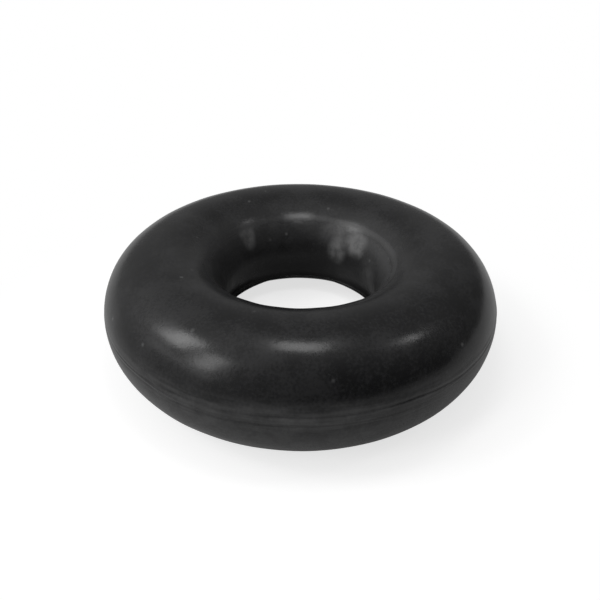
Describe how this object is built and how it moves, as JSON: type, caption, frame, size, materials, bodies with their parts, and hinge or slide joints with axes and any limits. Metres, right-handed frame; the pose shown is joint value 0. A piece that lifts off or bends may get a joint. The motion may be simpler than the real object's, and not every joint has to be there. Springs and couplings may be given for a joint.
{
  "type": "o-ring",
  "caption": "Thick moulded rubber sealing ring with a round section, which squeezes into a groove between a shaft and its housing.",
  "frame": {"origin": "centre of the ring, on its axis, halfway up its round section", "axes": "+Z along the ring's axis and upwards as it lies flat; every direction across it is alike"},
  "size_m": [0.02, 0.02, 0.006],
  "materials": {
    "rubber": "black moulded rubber, semi-matte, a little rougher round the hole"
  },
  "bodies": {
    "root": {"o_ring": "rubber"}
  },
  "joints": []
}
